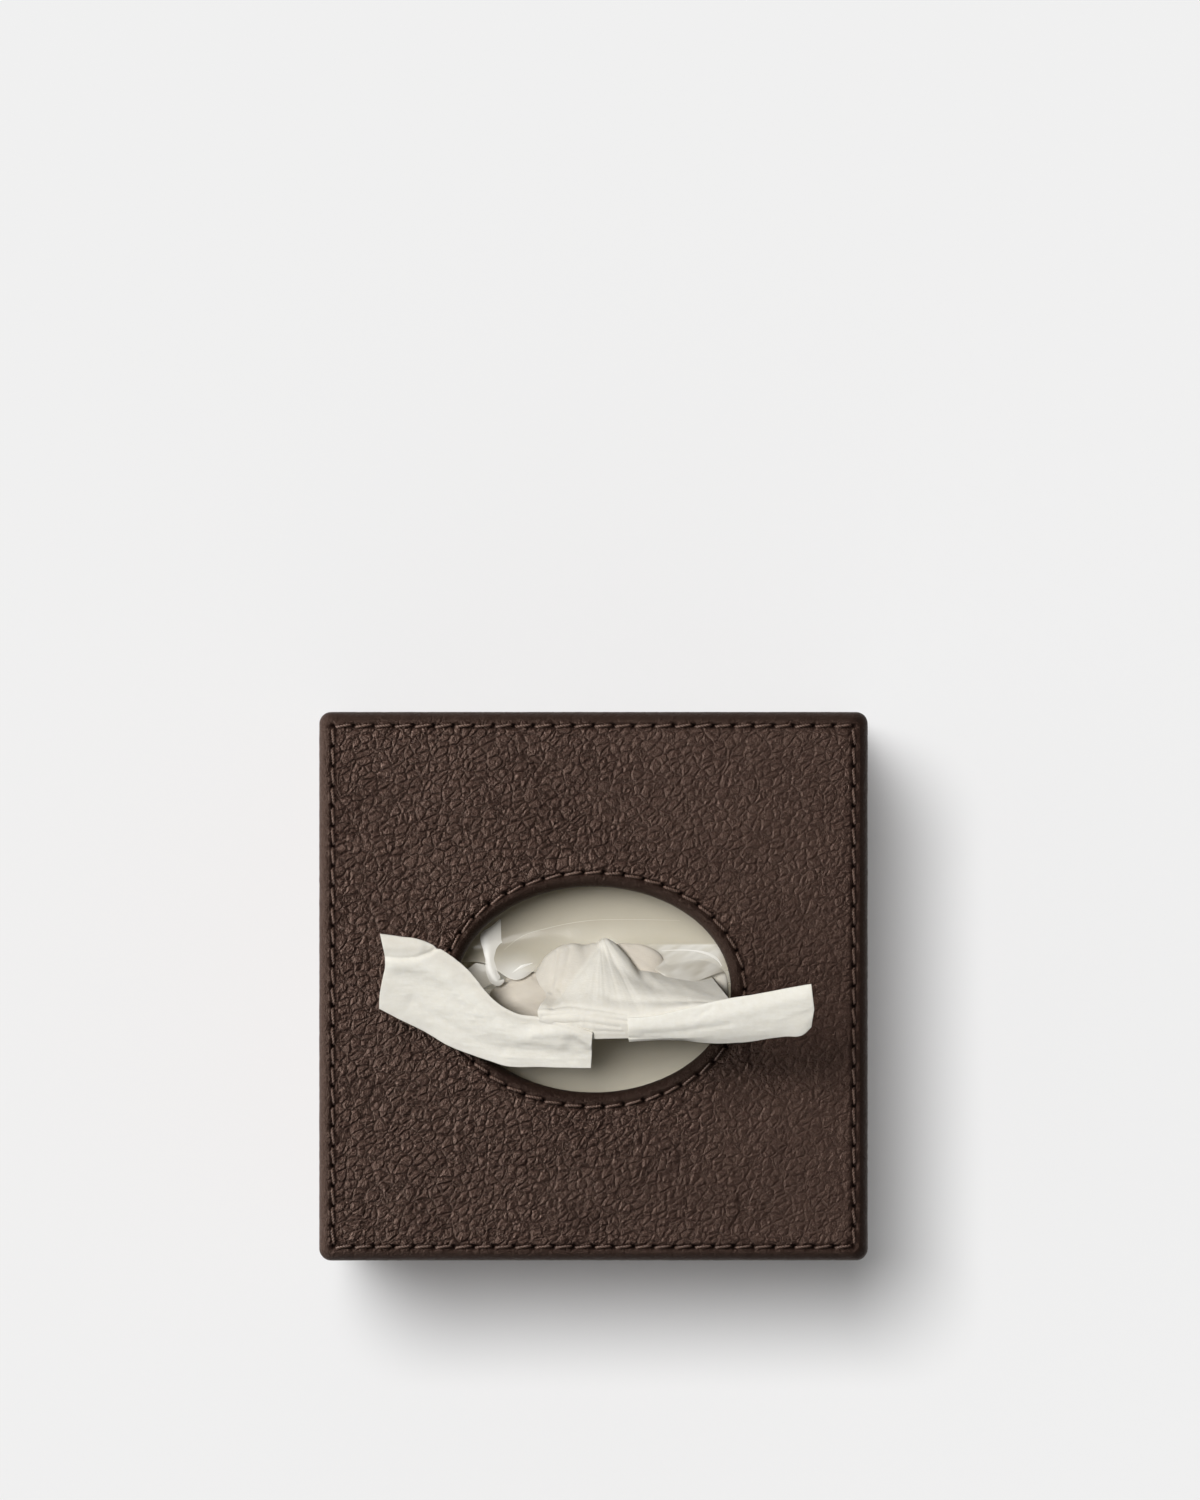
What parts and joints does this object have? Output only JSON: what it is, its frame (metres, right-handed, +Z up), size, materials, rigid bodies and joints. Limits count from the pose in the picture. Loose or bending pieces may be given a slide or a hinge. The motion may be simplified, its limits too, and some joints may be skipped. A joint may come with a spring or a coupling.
{
  "type": "tissue box cover",
  "caption": "Square leather tissue box cover with a stitched top, an oval opening and an inset magnetic base, lifting off a tissue carton whose top sheet is pulled up.",
  "frame": {"origin": "middle of the square footprint, on the table", "axes": "+Z up, +X to the right and +Y to the back as the picture shows the top"},
  "size_m": [0.13, 0.13, 0.1551],
  "materials": {
    "leather": "satin",
    "fibreboard": "matte",
    "suede_lining": "matte",
    "thread": "matte",
    "beech": "matte",
    "magnet": "satin",
    "steel": "satin",
    "paperboard": "matte",
    "clear_film": "gloss",
    "tissue_pack": "matte",
    "tissue": "matte"
  },
  "bodies": {
    "base": {"base_board": "fibreboard", "base_lining": "suede_lining", "base_leather": "leather", "strike_plates": "steel", "carton": "paperboard", "window_film": "clear_film", "tissue_stack": "tissue_pack"},
    "cover": {"top_board": "fibreboard", "front_board": "fibreboard", "back_board": "fibreboard", "left_board": "fibreboard", "right_board": "fibreboard", "top_lining": "suede_lining", "side_lining": "suede_lining", "edge_stitching": "thread", "rim_stitching": "thread", "top_leather": "leather", "side_leather": "leather", "front_ledge": "beech", "back_ledge": "beech", "left_ledge": "beech", "right_ledge": "beech", "ledge_magnets": "magnet"},
    "tissue": {"pulled_tissue": "tissue"}
  },
  "joints": [
    {"name": "cover_lift", "type": "slide", "parent": "base", "child": "cover", "axis": [0, 0, 1], "range_m": [0, 0.14]},
    {"name": "tissue_pull", "type": "slide", "parent": "cover", "child": "tissue", "axis": [0, 0, 1], "range_m": [0, 0.1]}
  ]
}
